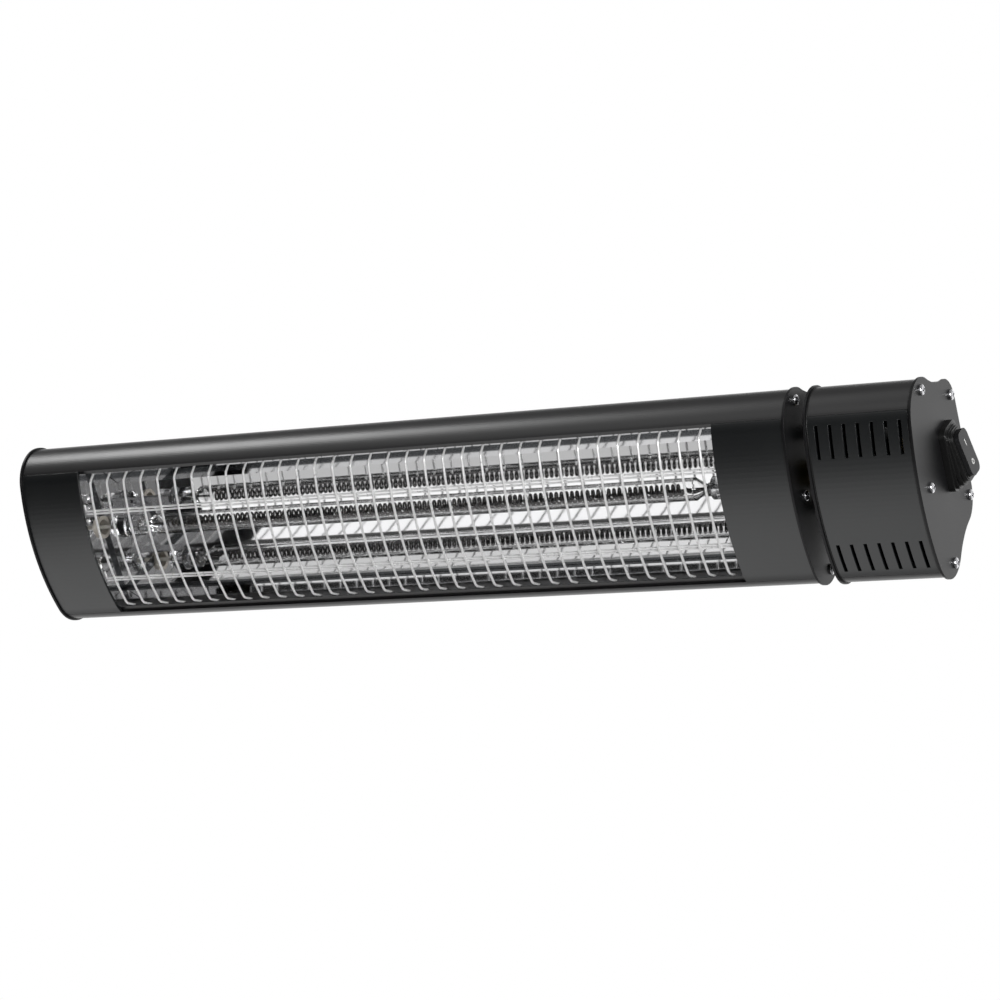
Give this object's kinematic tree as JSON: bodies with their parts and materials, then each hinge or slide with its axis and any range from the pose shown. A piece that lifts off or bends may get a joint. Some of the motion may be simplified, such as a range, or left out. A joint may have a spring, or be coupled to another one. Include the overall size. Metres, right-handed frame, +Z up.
{
  "type": "electric bar heater",
  "caption": "Wall-mounted infrared bar heater: curved dark housing, mirror trough with quartz lamp behind a wire guard, electrics box with booted rocker switch.",
  "frame": {"origin": "middle of the line between the two threaded mounting inserts, on the outer face of the lamp housing's flat back wall", "axes": "+X along the heater, towards the electrics box and its switch; +Y backwards into the wall; +Z up"},
  "size_m": [0.6715, 0.1073, 0.13],
  "materials": {
    "black_extrusion": "satin black coating",
    "black_panel": "satin black coating",
    "grey_plate": "satin dark grey coating",
    "black_rubber": "matt",
    "bright_screw": "bright plated",
    "mirror_sheet": "polished",
    "aluminium_rivet": "plain",
    "quartz": "clear",
    "heating_wire": "oxidised",
    "ceramic": "unglazed ceramic",
    "spring_steel": "plain",
    "lead_sleeve": "braided glass-fibre sleeve",
    "chrome_wire": "bright plated",
    "brass_part": "plain",
    "zinc_steel": "zinc plated",
    "white_plastic": "satin",
    "blue_sleeve": "satin",
    "black_plastic": "fine grain"
  },
  "bodies": {
    "heater": {"lamp_housing": "black_extrusion", "electrics_housing": "black_extrusion", "front_panel_left": "black_panel", "front_panel_right": "black_panel", "vent_panel": "black_panel", "end_plate_left": "grey_plate", "lamp_plate_right": "grey_plate", "box_plate_inner": "grey_plate", "box_plate_outer": "grey_plate", "gasket_inner": "black_rubber", "gasket_outer": "black_rubber", "screws_end_left": "bright_screw", "screws_lamp_right": "bright_screw", "screws_box_inner": "bright_screw", "screws_box_outer": "bright_screw", "reflector": "mirror_sheet", "reflector_end_left": "mirror_sheet", "reflector_end_right": "mirror_sheet", "reflector_rivets": "aluminium_rivet", "quartz_tube": "quartz", "heating_coil": "heating_wire", "lamp_cap_left": "ceramic", "lamp_cap_right": "ceramic", "lamp_clip_left": "spring_steel", "lamp_clip_right": "spring_steel", "clip_rivets": "aluminium_rivet", "lead_bush_left": "ceramic", "lead_bush_right": "ceramic", "lamp_lead_left": "lead_sleeve", "lamp_lead_right": "lead_sleeve", "guard_wires": "chrome_wire", "guard_rails": "chrome_wire", "wire_conduit": "brass_part", "conduit_nuts": "brass_part", "standoff_sleeves": "zinc_steel", "standoff_bolts": "zinc_steel", "standoff_nuts": "zinc_steel", "terminal_block": "white_plastic", "terminal_screws": "brass_part", "block_screws": "zinc_steel", "switch_leads": "blue_sleeve", "earth_screw": "zinc_steel", "earth_nut": "zinc_steel", "switch_body": "black_plastic", "switch_terminals": "brass_part", "switch_boot": "black_rubber", "gland_body": "black_plastic", "gland_nut": "black_plastic", "gland_cap": "black_plastic", "gland_seal": "black_rubber", "mounting_inserts": "zinc_steel"},
    "rocker": {"rocker": "black_plastic", "rocker_marks": "white_plastic"},
    "contact_lever": {"contact_lever": "brass_part"}
  },
  "joints": [
    {"name": "rocker_tilt", "type": "hinge", "parent": "heater", "child": "rocker", "pos_m": [0.37, -0.02975, 0.0026], "axis": [0, 1, 0], "range_deg": [0, 22], "deforming": ["switch_boot"]},
    {"name": "contact_tilt", "type": "hinge", "parent": "heater", "child": "contact_lever", "pos_m": [0.356, -0.02975, 0.0026], "axis": [0, 1, 0], "range_deg": [-17.6, 0]}
  ],
  "couplings": [
    {"joint": "contact_tilt", "follows": "rocker_tilt", "ratio": -0.8}
  ]
}
